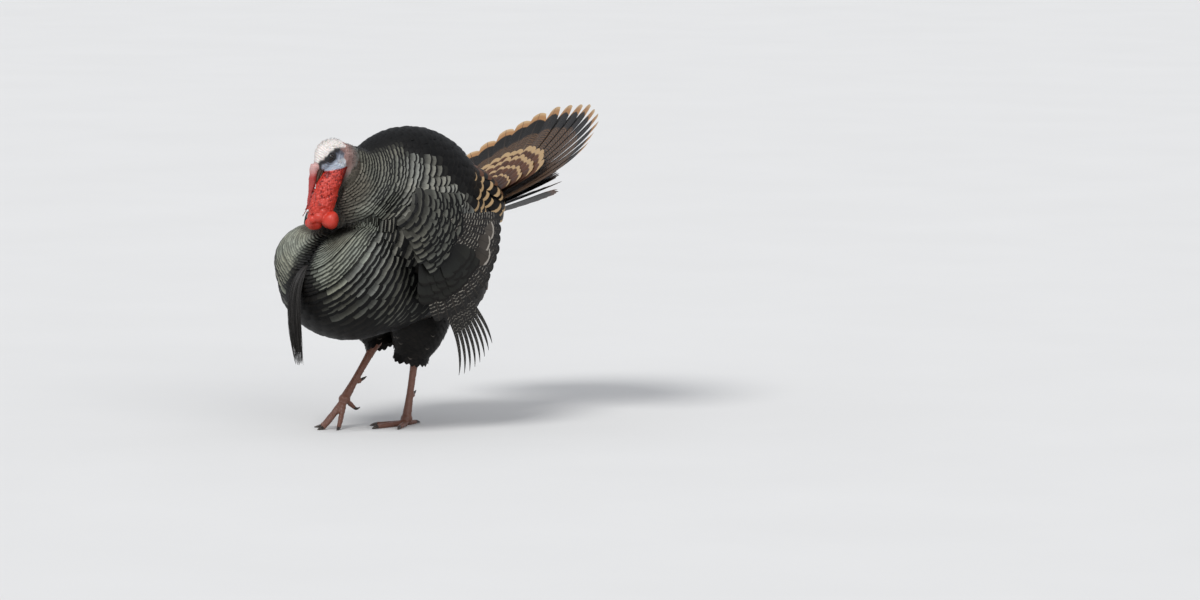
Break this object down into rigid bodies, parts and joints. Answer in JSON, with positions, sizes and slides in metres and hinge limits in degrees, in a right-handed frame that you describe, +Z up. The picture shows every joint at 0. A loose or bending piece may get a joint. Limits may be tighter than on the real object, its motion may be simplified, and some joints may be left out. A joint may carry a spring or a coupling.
{
  "type": "wild turkey",
  "caption": "Strutting wild turkey tom: puffed body, low drooped wings, raised tail fan, bent neck with red wattle and snood, breast beard, one foot flat and one stepping on its toes.",
  "frame": {"origin": "on the floor under the middle of the whole bird, tail included", "axes": "+Z up; the bird faces -Y and its left side is towards +X"},
  "size_m": [0.56, 0.7959, 0.656],
  "materials": {
    "bronze_feathers": "bronze-grey vanes with black edges, satin",
    "black_feathers": "soft black, slightly glossy",
    "flight_feathers": "brown-black with white bars, satin",
    "tail_feathers": "brown with fine bars, a black band and a buff rim",
    "chestnut_coverts": "chestnut with pale rims",
    "head_skin": "bare wrinkled skin, white and blue-grey",
    "wattle_skin": "bare red warty skin, moist sheen",
    "leg_scales": "reddish-brown scales",
    "dark_horn": "dark horn",
    "bill_horn": "pale brown horn",
    "eye": "dark glossy eye"
  },
  "bodies": {
    "root": {"beard": "black_feathers", "bill_lower": "bill_horn", "bill_upper": "bill_horn", "claw_hind_left": "dark_horn", "claw_hind_right": "dark_horn", "claw_inner_left": "dark_horn", "claw_inner_right": "dark_horn", "claw_middle_left": "dark_horn", "claw_middle_right": "dark_horn", "claw_outer_left": "dark_horn", "claw_outer_right": "dark_horn", "eye_left": "eye", "eye_right": "eye", "foot_left": "leg_scales", "foot_right": "leg_scales", "head": "head_skin", "neck": "bronze_feathers", "primaries_left": "flight_feathers", "primaries_right": "flight_feathers", "secondaries_left": "flight_feathers", "secondaries_right": "flight_feathers", "shank_left": "leg_scales", "shank_right": "leg_scales", "snood": "wattle_skin", "spur_left": "dark_horn", "spur_right": "dark_horn", "tail_coverts_under": "black_feathers", "tail_coverts_upper": "chestnut_coverts", "tail_fan": "tail_feathers", "thigh_left": "black_feathers", "thigh_right": "black_feathers", "trunk": "bronze_feathers", "wattle": "wattle_skin", "wing_left": "bronze_feathers", "wing_right": "bronze_feathers"}
  },
  "joints": []
}
